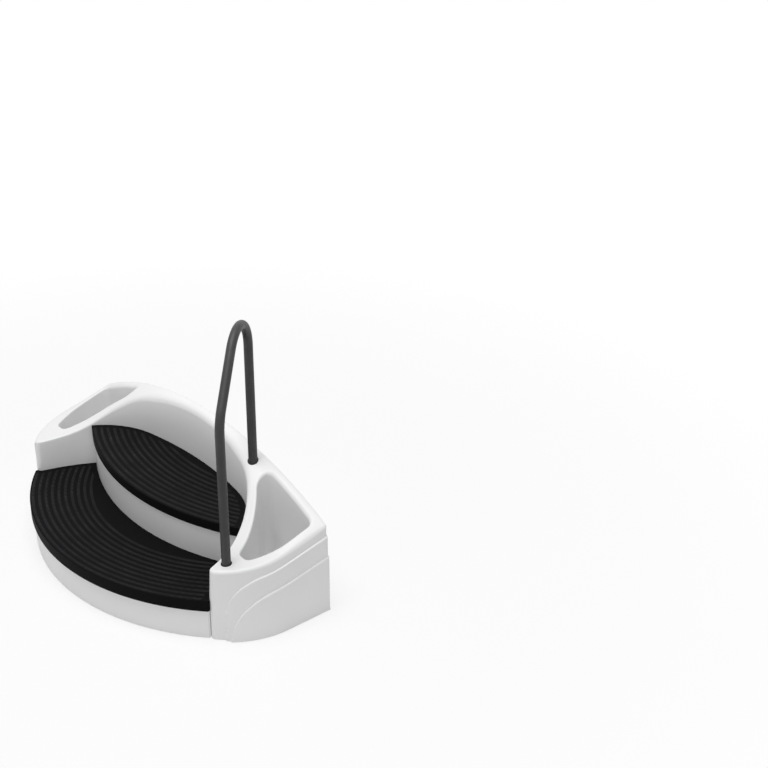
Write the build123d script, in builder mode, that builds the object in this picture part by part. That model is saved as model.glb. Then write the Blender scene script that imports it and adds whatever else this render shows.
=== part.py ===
"""Half-round two-tread spa steps: planter pods, back arch, ribbed treads and a lift-out handrail.

Millimetres, +Z up, +Y towards the spa. The origin is under the middle of the footprint, on the floor.
Plan positions are given as (distance from the middle, distance in front of the back face).
"""
from build123d import *
import os
from math import asin, atan2, cos, degrees, exp, radians, sin, sqrt

os.makedirs("parts", exist_ok=True)

# ---------------------------------------------------------------- driving dimensions
step_rise = 190.0            # floor to the first tread, and first tread to the second
overall_depth = 770.0        # back face to the foremost point of the first tread
wall = 5.0                   # wall of the moulded shells
foot_height = 3.0            # rubber feet below the mouldings
shell_gap = 1.5              # between a step moulding and the pod walls beside it
tread_gap = 2.5              # between a tread and the walls round it
touch_gap = 0.2              # between parts that bear on each other
past = 20.0                  # how far a cutting shape reaches past what it cuts

# Surround: outside of the two pods
half_width = 809.0           # middle to the pod's side above the ledges
side_straight = 220.0        # straight length of the pod's side, from the back
bow_radius = 345.0           # pod's side where it sweeps round to the nose
nose_radius = 22.0           # rounded front end of a pod
ledge_step = 8.0             # how far each moulded ledge stands out
ledge_root = 20.0            # part of a ledge's section that lies inside the pod's side
# Each ledge's upper line: height at the back, distance behind the bow's foremost point and
# height where it turns down, distance behind that point at the floor, and radius of the turn
ledge_lines = ((357.0, 122.0, 267.0, 109.0, 155.0), (262.0, 156.0, 189.0, 125.0, 195.0))

# Surround: wall of the well that holds the treads, as tangent arcs from the middle
well_back = 71.0             # back face to the well's wall, at the middle
well_radii = (1690.0, 342.0, 778.0)
well_reach = 479.0           # pod's side to the end of the first arc
well_heading = 57.66         # degrees turned at the end of the second arc
well_last_turn = 14.2
well_draft = 0.05            # outward lean above the first tread

# Surround: height of the rim
nose_rim = 329.0             # at the pods' noses
back_rim = 405.0             # at the back corners
crest_rim = 611.0            # at the middle of the arch
rim_run = 520.0              # back face to where the rim is level
side_power = 1.8             # how fast the pod's side falls towards the front
crest_run = 245.0            # back face to where the arch has sunk into the pods
crest_power = 2.5
rim_round = 10.0
rim_slices = 9               # sections that the rim's surface is lofted through
rim_lead = 0.2               # share of a section's spacing that the first one stands behind

# Pockets in the pods
pocket_strip = 41.0          # rim between the pocket and the pod's outside
pocket_back_strip = 43.0     # rim between the pocket and the back face
pocket_side_straight = 162.0        # straight length of the pocket's outer side, from the back
pocket_bow_radius = 375.0
pocket_bow_turn = 60.0       # degrees of the bow that a pocket's outline is drawn along
pocket_end = half_width - 324.0      # middle to the pocket's inner end
pocket_front = 341.0         # back face to the pocket's front end
pocket_well_centre = (half_width - 602.0, 511.0)     # middle of the wall beside the well
pocket_well_radius = 489.0
pocket_well_round = 60.0     # corner between the wall beside the well and the inner end
pocket_corner = 28.0         # the other corners
pocket_floor = 120.0         # height of the pocket's floor
pocket_mouth = 360.0         # height at which the pocket has its plan size
pocket_draft = 0.02
pocket_round = 8.0
drain_spot = (half_width - 169.0, 150.0)
drain_radius = 12.0

# Step mouldings
tread_overhang = 15.0        # first tread past the first riser
riser_1_front = overall_depth - tread_overhang
riser_1_radius = 980.0
riser_2_front = 400.0
riser_2_radius = 1113.0
riser_end = half_width - 150.0       # middle to the end of the first riser
rib_thickness = 4.0
rib_height = 60.0
rib_spacing = 220.0
rib_counts = (6, 4)
post_radius = 21.0           # posts that carry a deck down to the feet
upper_post_radius = 12.0

# Treads
tread_1_radius = 973.0
tread_2_front = 408.0
tread_2_radius = 1128.0
tread_end = half_width - 142.0       # middle to the end of the first tread
skirt_1 = 52.0               # height of the first tread's front band
skirt_2 = 44.0
skirt_thickness = 4.0
tread_plate = 5.0
tread_standoff = 7.0         # hollow between the plate and the deck
tread_round = 2.5
ridge_height = 2.0
ridge_width = 15.0
ridge_root = 1.0             # part of a ridge's section that lies inside the plate
ridge_pitch = 28.2
ridge_first = 14.0           # front edge to the middle of the first ridge
ridge_counts = (10, 11)
ridge_margin = 25.0          # plain border at the ends and back
ridge_sweep = 100.0          # degrees of arc that the longest ridge may take

# Handrail
rail_radius = 19.0
rail_wall = 2.0
rail_front = (half_width - 131.0, 411.0)     # foot in the pod's nose
rail_back = (half_width - 408.5, 62.5)       # foot in the arch
rail_knee_height = 972.0     # corner of the front leg's bend
rail_peak_height = 1445.0    # corner of the top bend
rail_bend = 142.0
plug_head = 3.0
plug_spigot = 15.0
socket_depth = 160.0         # rail below the rim
socket_wall = 2.0
socket_clearance = 0.4       # round the rail and its plugs
grommet_lip = 1.5
grommet_proud = 2.0

# Fasteners and feet
bolt_radius = 4.0
bolt_head_radius = 7.5
bolt_head_height = 4.4
bolt_tail = 2.0              # thread past the nut
bolt_height = 95.0
washer_radius = 9.0
washer_thickness = 1.6
nut_radius = 7.5
nut_height = 6.5
screw_radius = 2.5
screw_head_radius = 4.75
screw_head_height = 3.0
screw_bite = 8.0             # screw in a tread's boss
post_bite = 25.0             # screw in a post
boss_radius = 8.0
hole_clearance = 0.4
thread_clearance = 0.1
foot_radius = 16.0
stem_radius = 4.0
stem_length = 12.0
flange_width = 3.0           # drain plug's flange

# Places of the repeated parts; each is used on both sides
pod_feet = ((half_width - 279.0, 90.0), (half_width - 109.0, 290.0))
arch_feet = ((200.0, 38.0),)
step_feet = ((0.0, overall_depth - 80.0), (300.0, overall_depth - 120.0),
             (half_width - 269.0, overall_depth - 240.0), (200.0, 180.0))
upper_posts = ((170.0, 330.0), (half_width - 429.0, 240.0))
bosses_1 = ((0.0, overall_depth - 160.0), (250.0, overall_depth - 210.0),
            (half_width - 329.0, overall_depth - 310.0), (220.0, overall_depth - 70.0))
bosses_2 = ((0.0, 340.0), (250.0, 310.0), (half_width - 379.0, 220.0), (100.0, 130.0))
bolt_places = ((0, 0.6), (1, 0.5), (2, 0.6))     # well arc, and share of it

# ---------------------------------------------------------------- derived sizes
back_y = overall_depth / 2
deck_1 = step_rise - ridge_height - tread_plate - tread_standoff
deck_2 = deck_1 + step_rise
bow_centre = (half_width - bow_radius, side_straight)
bow_front = side_straight + bow_radius
first_turn = degrees(asin((half_width - well_reach) / well_radii[0]))
well_turns = (first_turn, well_heading - first_turn, well_last_turn)
widest = half_width + 2 * ledge_step
cut_top = crest_rim + wall + 2 * past
slab_back = well_back / 3    # step mouldings and treads are cut here by the well's wall
socket_radius = rail_radius + socket_clearance + socket_wall
socket_bore = socket_radius + touch_gap
socket_boss = socket_bore + wall


# ---------------------------------------------------------------- shared shapes
def at(x, back):
    """Plan point from its distances to the middle and to the back face."""
    return (x, back_y - back)


def both_sides(places):
    """Plan points of these places and their mirror images, each once."""
    return [at(side * x, back) for x, back in places for side in (1, -1) if x or side > 0]


def well_walk(arc, share, grow=0.0):
    """Place and heading on the well's wall: x, distance from the back face, turn in degrees."""
    x, back, heading = 0.0, well_back - grow, 0.0
    for i, (radius, turn) in enumerate(zip(well_radii, well_turns)):
        if i > arc:
            break
        turned = heading + (share if i == arc else 1.0) * turn
        x += (radius + grow) * (sin(radians(turned)) - sin(radians(heading)))
        back += (radius + grow) * (cos(radians(heading)) - cos(radians(turned)))
        heading = turned
    return x, back, heading


def nose_shape(grow):
    """Straight run from the well's arcs to the nose, then how far the bow and the nose turn."""
    x, back, heading = well_walk(len(well_radii), 1.0, grow)
    along_x, along_back = cos(radians(heading)), sin(radians(heading))
    from_x = x + along_back * nose_radius - bow_centre[0]
    from_back = back - along_x * nose_radius - bow_centre[1]
    reach = bow_radius - nose_radius
    lead = from_x * along_x + from_back * along_back
    run = -lead + sqrt(lead**2 - (from_x**2 + from_back**2 - reach**2))
    bow_turn = degrees(atan2(from_back + along_back * run, from_x + along_x * run))
    return run, bow_turn, 90.0 + heading - bow_turn


def surround_outline(inset, flare):
    """Outline of the arch and pods; inset shrinks it all round, and flare opens the well."""
    run, bow_turn, nose_turn = nose_shape(flare)
    back_edge = Line(at(0, inset), at(half_width - inset, inset))
    side = Line(back_edge @ 1, at(half_width - inset, side_straight))
    bow = JernArc(side @ 1, (0, -1), bow_radius - inset, -bow_turn)
    nose = JernArc(bow @ 1, bow % 1, nose_radius - inset, -nose_turn)
    inner = Line(nose @ 1, nose @ 1 + (nose % 1) * run)
    for radius, turn in zip(reversed(well_radii), reversed(well_turns)):
        inner = JernArc(inner @ 1, inner % 1, radius + flare + inset, turn)
    mirror(about=Plane.YZ)


def rim_heights(back, lower):
    """Heights of the rim at the middle and at the sides, and the radius of its arc."""
    side_share = (1 - back / rim_run) ** side_power
    crest_share = exp(-((abs(back) / crest_run) ** crest_power))
    corner = nose_rim + (back_rim - nose_rim) * side_share - lower
    crest = nose_rim + (crest_rim - nose_rim) * crest_share - lower
    return crest, corner, (half_width**2 + (crest - corner) ** 2) / (2 * (crest - corner))


def rim_height(x, back):
    """Height of the rim's surface at a place."""
    crest, corner, radius = rim_heights(back, 0)
    return crest - radius + sqrt(radius**2 - x**2)


def rim_section(back, lower):
    """Slice of all that lies below the rim, at a distance from the back face."""
    crest, corner, radius = rim_heights(back, lower)
    reach = widest + wall + past
    end = crest - radius + sqrt(radius**2 - reach**2)
    with BuildSketch(Plane.XZ.offset(back - back_y)) as section:
        with BuildLine():
            ThreePointArc((-reach, end), (0, crest), (reach, end))
            Polyline((reach, end), (reach, -past), (-reach, -past), (-reach, end))
        make_face()
    return section.sketch


def below_rim(lower):
    """Solid that fills all that lies below the rim's surface."""
    with BuildPart() as filled:
        for i in range(rim_slices):
            add(rim_section(rim_run * (i - rim_lead) / (rim_slices - 1), lower))
        loft()
    return filled.part


def pod_block(inset, bottom):
    """Arch and pods as a block: upright below the first tread, with a leaning well above it."""
    with BuildPart() as block:
        with BuildSketch(Plane.XY.offset(bottom)):
            with BuildLine():
                surround_outline(inset, 0)
            make_face()
        extrude(amount=step_rise - bottom)
        for height, flare in ((step_rise, 0.0), (cut_top, well_draft * (cut_top - step_rise))):
            with BuildSketch(Plane.XY.offset(height)):
                with BuildLine():
                    surround_outline(inset, flare)
                make_face()
        loft()
        add(below_rim(inset), mode=Mode.INTERSECT)
    return block.part


def pocket_outline(shrink, corner):
    """Outline of the right pod's pocket: parallel to the back and side, bowed out, round at the well."""
    strip = pocket_strip + shrink
    inner_end = pocket_end + shrink
    outer_end = half_width - strip
    front = pocket_front - shrink
    with BuildSketch() as pocket:
        with BuildLine():
            back_edge = Line(at(inner_end, pocket_back_strip + shrink),
                             at(outer_end, pocket_back_strip + shrink))
            side = Line(back_edge @ 1, at(outer_end, pocket_side_straight))
            bow = JernArc(side @ 1, (0, -1), pocket_bow_radius - shrink, -pocket_bow_turn)
            Polyline(bow @ 1, (inner_end, (bow @ 1).Y), back_edge @ 0)
        make_face()
        with Locations(at(0, front)):
            Rectangle(2 * widest, front, align=(Align.CENTER, Align.MIN), mode=Mode.INTERSECT)
        with Locations(at(*pocket_well_centre)):
            Circle(pocket_well_radius + shrink, mode=Mode.SUBTRACT)
        inner_corner = pocket.vertices().group_by(Axis.X)[0].sort_by(Axis.Y)[0]
        fillet(inner_corner, pocket_well_round - shrink)
        offset(amount=-corner)
        offset(amount=corner, kind=Kind.ARC)
    return pocket.sketch


def pocket_block(grow):
    """Space of the right pod's pocket, with leaning walls; grow adds its moulded wall."""
    top = rim_height(pocket_end, 0) + wall
    with BuildPart() as block:
        for height in (pocket_floor - grow, top):
            with BuildSketch(Plane.XY.offset(height)):
                shrink = pocket_draft * (pocket_mouth - height) - grow
                add(pocket_outline(shrink, pocket_corner + grow))
        loft()
    return block.part


def ledge(out, back_height, turn_reach, turn_height, foot_reach, radius):
    """Right pod's moulded ledge: stands out by this much below a swept line."""
    corners = ((0, back_height), (bow_front - turn_reach, turn_height), (bow_front - foot_reach, 0))
    bow_turn = nose_shape(0)[1]
    root = half_width - ledge_root
    with BuildPart() as band:
        with BuildSketch(Plane.XY.offset(foot_height)):
            with BuildLine():
                foot = Line(at(root, 0), at(half_width + out, 0))
                side = Line(foot @ 1, at(half_width + out, side_straight))
                bow = JernArc(side @ 1, (0, -1), bow_radius + out, -bow_turn)
                inner_side = Line(foot @ 0, at(root, side_straight))
                inner_bow = JernArc(inner_side @ 1, (0, -1), bow_radius - ledge_root, -bow_turn)
                Line(bow @ 1, inner_bow @ 1)
            make_face()
        extrude(amount=back_rim)
        with BuildSketch(Plane.YZ):
            with BuildLine():
                top = FilletPolyline([(back_y - back, z) for back, z in corners], radius=radius)
                Polyline(top @ 1, (back_y, (top @ 1).Y), top @ 0)
            make_face()
        extrude(amount=widest + 1, mode=Mode.INTERSECT)
    return band.part


def round_slab(front, radius, half_length, bottom, top):
    """Slab between two heights with a round front edge, cut off at both ends."""
    with BuildPart() as slab:
        with BuildSketch(Plane.XY.offset(bottom)):
            with Locations(at(0, front - radius)):
                Circle(radius)
            with Locations(at(0, slab_back)):
                Rectangle(2 * half_length, front, align=(Align.CENTER, Align.MAX),
                          mode=Mode.INTERSECT)
        extrude(amount=top - bottom)
    return slab.part


def pegs(places, radius, bottom, top):
    """Upright cylinders at these plan points."""
    with BuildPart() as group:
        with BuildSketch(Plane.XY.offset(bottom)):
            with Locations(*places):
                Circle(radius)
        extrude(amount=top - bottom)
    return group.part


def wall_planes(places, height):
    """Planes on the well's wall on both sides, facing out of the well."""
    planes = []
    for arc, share in places:
        x, back, heading = well_walk(arc, share)
        for side in (1, -1):
            out = (side * sin(radians(heading)), cos(radians(heading)), 0)
            planes.append(Plane(origin=(*at(side * x, back), height), x_dir=(0, 0, 1), z_dir=out))
    return planes


def wall_pegs(radius, start, end):
    """Cylinders across the well's wall at the joining bolts, from start to end outwards."""
    with BuildPart() as group:
        for plane in wall_planes(bolt_places, bolt_height):
            with BuildSketch(plane.offset(start)):
                Circle(radius)
            extrude(amount=end - start)
    return group.part


# ---------------------------------------------------------------- surround: arch and two pods
outer_block = pod_block(0, foot_height)
inner_block = pod_block(wall, foot_height - 1)
pocket_space = pocket_block(0)
pocket_tub = pocket_block(wall)
ledges = [ledge((i + 1) * ledge_step, *line) for i, line in enumerate(ledge_lines)]
rail_feet = [(spot, rim_height(*spot)) for spot in (rail_front, rail_back)]
socket_floor = plug_head + socket_clearance + socket_wall
pod_posts = pegs(both_sides(pod_feet), post_radius, foot_height, pocket_floor - wall)

with BuildPart() as surround_core:
    add(inner_block)
    for side in (1, -1):
        add(pocket_tub if side > 0 else pocket_tub.mirror(Plane.YZ), mode=Mode.SUBTRACT)
    add(pod_posts, mode=Mode.SUBTRACT)
    for (x, back), rim in rail_feet:
        with BuildSketch(Plane.XY.offset(rim - socket_depth - socket_floor - wall)):
            with Locations(at(x, back)):
                Circle(socket_boss)
        extrude(amount=crest_rim, mode=Mode.SUBTRACT)
    with BuildSketch(Plane.XY.offset(foot_height)):
        with Locations(*both_sides(arch_feet)):
            Rectangle(2 * post_radius, 2 * well_back)
    extrude(amount=2 * stem_length, mode=Mode.SUBTRACT)

with BuildPart() as surround:
    add(outer_block)
    fillet(surround.faces().sort_by(Axis.Z)[-1].edges(), rim_round)
    add(pocket_space, mode=Mode.SUBTRACT)
    add(pocket_space.mirror(Plane.YZ), mode=Mode.SUBTRACT)
    mouths = surround.faces().sort_by(lambda face: len(face.inner_wires()))[-1].inner_wires()
    fillet(mouths[0].edges() + mouths[1].edges(), pocket_round)
    for band in ledges:
        add(band)
        add(band.mirror(Plane.YZ))
    add(surround_core.part, mode=Mode.SUBTRACT)
    for (x, back), rim_level in rail_feet:
        with BuildSketch(Plane.XY.offset(rim_level - socket_depth - socket_floor)):
            with Locations(at(x, back)):
                Circle(socket_bore)
        extrude(amount=crest_rim, mode=Mode.SUBTRACT)
    add(pegs(both_sides((drain_spot,)), drain_radius + hole_clearance,
             pocket_floor - 2 * wall, pocket_floor + wall), mode=Mode.SUBTRACT)
    add(pegs(both_sides(pod_feet + arch_feet), stem_radius + thread_clearance,
             foot_height - 1, foot_height + stem_length + 1), mode=Mode.SUBTRACT)
    add(wall_pegs(bolt_radius + hole_clearance, -1, wall + 1), mode=Mode.SUBTRACT)
surround.part.label = "surround"
export_step(surround.part, "parts/surround.step")

# ---------------------------------------------------------------- step mouldings
shell_clear = pod_block(-shell_gap, foot_height - 1)
inside_clear = pod_block(-shell_gap - wall, foot_height - 2)
posts_1 = pegs(both_sides(step_feet), post_radius, foot_height, deck_1 - wall)
posts_2 = pegs(both_sides(upper_posts), upper_post_radius, deck_1 + touch_gap, deck_2 - wall)


def ribs(count, deck):
    """Upright plates under a deck, across the step."""
    places = [Vector((i - (count - 1) / 2) * rib_spacing, 0) for i in range(count)]
    with BuildPart() as plates:
        with BuildSketch(Plane.XY.offset(deck - wall - rib_height)):
            with Locations(*places):
                Rectangle(rib_thickness, 2 * overall_depth)
        extrude(amount=rib_height)
    return plates.part


with BuildPart() as lower_step_core:
    add(round_slab(riser_1_front - wall, riser_1_radius - wall, riser_end - wall,
                   foot_height - 1, deck_1 - wall))
    add(inside_clear, mode=Mode.SUBTRACT)
    add(posts_1, mode=Mode.SUBTRACT)
    add(ribs(rib_counts[0], deck_1), mode=Mode.SUBTRACT)

with BuildPart() as lower_step:
    add(round_slab(riser_1_front, riser_1_radius, riser_end, foot_height, deck_1))
    add(shell_clear, mode=Mode.SUBTRACT)
    add(lower_step_core.part, mode=Mode.SUBTRACT)
    add(pegs(both_sides(step_feet), stem_radius + thread_clearance,
             foot_height - 1, foot_height + stem_length + 1), mode=Mode.SUBTRACT)
    add(pegs(both_sides(upper_posts), screw_radius + hole_clearance, deck_1 - 2 * wall, deck_1 + 1),
        mode=Mode.SUBTRACT)
    add(pegs(both_sides(bosses_1), screw_radius + hole_clearance, deck_1 - 2 * wall, deck_1 + 1),
        mode=Mode.SUBTRACT)
    add(wall_pegs(bolt_radius + hole_clearance, -shell_gap - 2 * wall, 0), mode=Mode.SUBTRACT)
lower_step.part.label = "lower_step"
export_step(lower_step.part, "parts/lower_step.step")

with BuildPart() as upper_step_core:
    add(round_slab(riser_2_front - wall, riser_2_radius - wall, riser_end,
                   deck_1 - 1, deck_2 - wall))
    add(inside_clear, mode=Mode.SUBTRACT)
    add(posts_2, mode=Mode.SUBTRACT)
    add(ribs(rib_counts[1], deck_2), mode=Mode.SUBTRACT)

with BuildPart() as upper_step:
    add(round_slab(riser_2_front, riser_2_radius, riser_end, deck_1 + touch_gap, deck_2))
    add(shell_clear, mode=Mode.SUBTRACT)
    add(upper_step_core.part, mode=Mode.SUBTRACT)
    add(pegs(both_sides(upper_posts), screw_radius + thread_clearance, deck_1, deck_1 + post_bite + 1),
        mode=Mode.SUBTRACT)
    add(pegs(both_sides(bosses_2), screw_radius + hole_clearance, deck_2 - 2 * wall, deck_2 + 1),
        mode=Mode.SUBTRACT)
upper_step.part.label = "upper_step"
export_step(upper_step.part, "parts/upper_step.step")

# ---------------------------------------------------------------- treads
tread_clear = pod_block(-tread_gap, foot_height - 1)
skirt_clear = pod_block(-tread_gap - skirt_thickness, foot_height - 2)
ridge_clear = pod_block(-tread_gap - ridge_margin, foot_height - 3)


def ridges(front, radius, count, top):
    """Round-topped ridges that run parallel to a tread's front edge."""
    centre = (0, back_y - front + radius, 0)
    start = Vector(0, -1, 0).rotate(Axis.Z, -ridge_sweep / 2)
    foot = top - ridge_height
    with BuildPart() as rows:
        with BuildSketch(Plane(origin=centre, x_dir=start, z_dir=start.cross(Vector(0, 0, 1)))):
            for i in range(count):
                middle = radius - ridge_first - i * ridge_pitch
                inner, outer = middle - ridge_width / 2, middle + ridge_width / 2
                with BuildLine():
                    ThreePointArc((inner, foot), (middle, top), (outer, foot))
                    Polyline((outer, foot), (outer, foot - ridge_root),
                             (inner, foot - ridge_root), (inner, foot))
                make_face()
        revolve(axis=Axis(centre, (0, 0, 1)), revolution_arc=ridge_sweep)
    return rows.part


def tread(front, radius, half_length, top, skirt, count, seats, behind=None):
    """Tread: ridged plate with a front band, lips round its hollow, and bosses for the screws."""
    plate_top = top - ridge_height
    plate_under = plate_top - tread_plate
    deck = plate_under - tread_standoff
    under_front = front - skirt_thickness
    under_radius = radius - skirt_thickness
    under_length = half_length - skirt_thickness
    with BuildPart() as inside:
        add(round_slab(under_front, under_radius, under_length, deck + touch_gap, plate_under))
        add(skirt_clear, mode=Mode.SUBTRACT)
        if behind:
            reach = tread_gap + skirt_thickness
            add(round_slab(behind[0] + reach, behind[1] + reach, 2 * half_length, deck, top + 1),
                mode=Mode.SUBTRACT)
    with BuildPart() as texture:
        add(ridges(front, radius, count, top))
        add(round_slab(front - tread_round, radius - tread_round, half_length - ridge_margin,
                       plate_under, top + 1), mode=Mode.INTERSECT)
        add(ridge_clear, mode=Mode.SUBTRACT)
        if behind:
            add(round_slab(behind[0] + ridge_margin, behind[1] + ridge_margin, 2 * half_length,
                           plate_under, top + 1), mode=Mode.SUBTRACT)
    with BuildPart() as plate:
        add(round_slab(front, radius, half_length, top - skirt, plate_top))
        fillet(plate.edges().filter_by(GeomType.CIRCLE).group_by(Axis.Z)[-1], tread_round)
        add(tread_clear, mode=Mode.SUBTRACT)
        if behind:
            add(round_slab(behind[0] + tread_gap, behind[1] + tread_gap, 2 * half_length,
                           top - skirt - 1, top + 1), mode=Mode.SUBTRACT)
        add(round_slab(under_front, under_radius, under_length, top - skirt - 1, deck + touch_gap),
            mode=Mode.SUBTRACT)
        add(inside.part, mode=Mode.SUBTRACT)
        add(pegs(seats, boss_radius, deck + touch_gap, plate_under))
        add(pegs(seats, screw_radius + thread_clearance, deck, deck + screw_bite + 1),
            mode=Mode.SUBTRACT)
        add(texture.part)
    return plate.part


lower_tread = tread(overall_depth, tread_1_radius, tread_end, step_rise, skirt_1, ridge_counts[0],
                    both_sides(bosses_1), behind=(riser_2_front, riser_2_radius))
lower_tread.label = "lower_tread"
export_step(lower_tread, "parts/lower_tread.step")

upper_tread = tread(tread_2_front, tread_2_radius, tread_end, 2 * step_rise, skirt_2, ridge_counts[1],
                    both_sides(bosses_2))
upper_tread.label = "upper_tread"
export_step(upper_tread, "parts/upper_tread.step")

# ---------------------------------------------------------------- handrail and its sockets
foot_points = [Vector(*at(*spot), rim) for spot, rim in rail_feet]
across = (foot_points[1] - foot_points[0]).cross(Vector(0, 0, 1))
span = across.length
rail_plane = Plane(origin=(*at(*rail_front), 0), x_dir=across.cross(Vector(0, 0, -1)), z_dir=across)
leg_ends = [rim - socket_depth for spot, rim in rail_feet]

with BuildPart() as handrail:
    with BuildLine(rail_plane):
        path = FilletPolyline((0, leg_ends[0]), (0, rail_knee_height), (span, rail_peak_height),
                              (span, leg_ends[1]), radius=rail_bend)
    with BuildSketch(Plane(origin=path @ 0, z_dir=path % 0)):
        Circle(rail_radius)
        Circle(rail_radius - rail_wall, mode=Mode.SUBTRACT)
    sweep(path=path)
handrail.part.label = "handrail"
export_step(handrail.part, "parts/handrail.step")


def tube(spot, outer, inner, bottom, top):
    """Upright tube at a plan point."""
    with BuildPart() as ring:
        with BuildSketch(Plane.XY.offset(bottom)):
            with Locations(at(*spot)):
                Circle(outer)
                if inner:
                    Circle(inner, mode=Mode.SUBTRACT)
        extrude(amount=top - bottom)
    return ring.part


with BuildPart() as handrail_end_plugs:
    for spot, end in zip((rail_front, rail_back), leg_ends):
        add(tube(spot, rail_radius, 0, end - plug_head, end))
        add(tube(spot, rail_radius - rail_wall - touch_gap / 2, 0, end, end + plug_spigot))
handrail_end_plugs.part.label = "handrail_end_plugs"
export_step(handrail_end_plugs.part, "parts/handrail_end_plugs.step")

lip_radius = socket_radius + grommet_lip
over_rim = below_rim(-grommet_proud)
on_rim = below_rim(-touch_gap)
for name, (spot, rim) in zip(("front", "back"), rail_feet):
    corners = [rim_height(spot[0] + i * lip_radius, spot[1] + j * lip_radius)
               for i in (-1, 1) for j in (-1, 1)]
    seat = min(corners) - grommet_lip
    end = rim - socket_depth - plug_head - socket_clearance
    with BuildPart() as socket:
        add(tube(spot, socket_radius, rail_radius + socket_clearance, end - socket_wall, seat))
        add(tube(spot, socket_radius, 0, end - socket_wall, end))
    socket.part.label = f"{name}_rail_socket"
    export_step(socket.part, f"parts/{name}_rail_socket.step")
    with BuildPart() as grommet:
        add(tube(spot, lip_radius, 0, seat, max(corners) + grommet_lip))
        add(on_rim, mode=Mode.SUBTRACT)
        add(tube(spot, socket_radius, 0, seat + touch_gap, rim))
        add(over_rim, mode=Mode.INTERSECT)
        add(tube(spot, rail_radius + socket_clearance, 0, seat, max(corners) + 2 * grommet_lip),
            mode=Mode.SUBTRACT)
    grommet.part.label = f"{name}_rail_grommet"
    export_step(grommet.part, f"parts/{name}_rail_grommet.step")

# ---------------------------------------------------------------- feet, plugs and fasteners
feet = both_sides(pod_feet + arch_feet + step_feet)
with BuildPart() as foot_pads:
    add(pegs(feet, foot_radius, 0, foot_height - touch_gap / 2))
    add(pegs(feet, stem_radius, foot_height - touch_gap / 2, foot_height + stem_length))
foot_pads.part.label = "foot_pads"
export_step(foot_pads.part, "parts/foot_pads.step")

for name, side in (("right", 1), ("left", -1)):
    place = [at(side * drain_spot[0], drain_spot[1])]
    with BuildPart() as drain_plug:
        add(pegs(place, drain_radius + flange_width, pocket_floor + touch_gap / 2,
                 pocket_floor + flange_width))
        add(pegs(place, drain_radius, pocket_floor - wall - flange_width,
                 pocket_floor + touch_gap / 2))
    drain_plug.part.label = f"{name}_pocket_drain_plug"
    export_step(drain_plug.part, f"parts/{name}_pocket_drain_plug.step")


def deck_screws(places, deck, bite):
    """Screws put in from below a deck."""
    under = deck - wall - touch_gap / 2
    with BuildPart() as screws:
        add(pegs(places, screw_head_radius, under - screw_head_height, under))
        add(pegs(places, screw_radius, under, deck + bite))
    return screws.part


for name, places, deck, bite in (("lower_tread_screws", bosses_1, deck_1, screw_bite),
                                 ("upper_tread_screws", bosses_2, deck_2, screw_bite),
                                 ("upper_step_screws", upper_posts, deck_1, post_bite)):
    screws = deck_screws(both_sides(places), deck, bite)
    screws.label = name
    export_step(screws, f"parts/{name}.step")

inner_face = -shell_gap - wall - touch_gap
nut_face = wall + touch_gap + washer_thickness
with BuildPart() as joining_bolts:
    add(wall_pegs(bolt_head_radius, inner_face - bolt_head_height, inner_face))
    add(wall_pegs(bolt_radius, inner_face, nut_face + nut_height + bolt_tail))
joining_bolts.part.label = "joining_bolts"
export_step(joining_bolts.part, "parts/joining_bolts.step")

with BuildPart() as joining_washers:
    add(wall_pegs(washer_radius, wall + touch_gap, nut_face))
    add(wall_pegs(bolt_radius + hole_clearance, wall, nut_face + 1), mode=Mode.SUBTRACT)
joining_washers.part.label = "joining_washers"
export_step(joining_washers.part, "parts/joining_washers.step")

with BuildPart() as joining_nuts:
    for plane in wall_planes(bolt_places, bolt_height):
        with BuildSketch(plane.offset(nut_face + touch_gap / 2)):
            RegularPolygon(nut_radius, 6)
            Circle(bolt_radius + thread_clearance, mode=Mode.SUBTRACT)
        extrude(amount=nut_height)
joining_nuts.part.label = "joining_nuts"
export_step(joining_nuts.part, "parts/joining_nuts.step")
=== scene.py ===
from math import atan2, cos, pi, radians, sin, sqrt

import bpy
import numpy as np
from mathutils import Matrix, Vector
from mathutils.geometry import delaunay_2d_cdt


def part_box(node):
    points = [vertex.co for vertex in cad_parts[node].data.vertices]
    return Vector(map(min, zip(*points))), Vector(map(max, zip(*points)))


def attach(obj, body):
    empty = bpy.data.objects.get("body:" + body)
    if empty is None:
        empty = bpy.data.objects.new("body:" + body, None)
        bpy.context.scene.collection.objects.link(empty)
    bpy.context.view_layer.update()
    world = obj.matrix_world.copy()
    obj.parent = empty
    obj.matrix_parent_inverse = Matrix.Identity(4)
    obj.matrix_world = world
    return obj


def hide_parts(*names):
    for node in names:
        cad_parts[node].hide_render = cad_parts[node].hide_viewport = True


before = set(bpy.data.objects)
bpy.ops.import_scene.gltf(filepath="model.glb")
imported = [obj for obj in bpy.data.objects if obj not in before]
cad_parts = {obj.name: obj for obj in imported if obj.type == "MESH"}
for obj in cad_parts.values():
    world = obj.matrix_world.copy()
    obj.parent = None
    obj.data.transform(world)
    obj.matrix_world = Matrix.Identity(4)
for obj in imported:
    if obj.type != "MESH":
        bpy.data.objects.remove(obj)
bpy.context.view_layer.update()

# ================================================================ camera
# A view down onto the steps through a long lens, from some seven metres away, in front of them
# and on the climber's right.
bpy.ops.object.camera_add(location=(5.3476, -3.2018, 4.1262),
                          rotation=(radians(62.0), 0, radians(49.41)))
camera = bpy.context.object
camera.name = "camera"
camera.data.lens = 79.45
camera.data.sensor_width = 36
camera.data.clip_end = 60
bpy.context.scene.camera = camera

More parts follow.
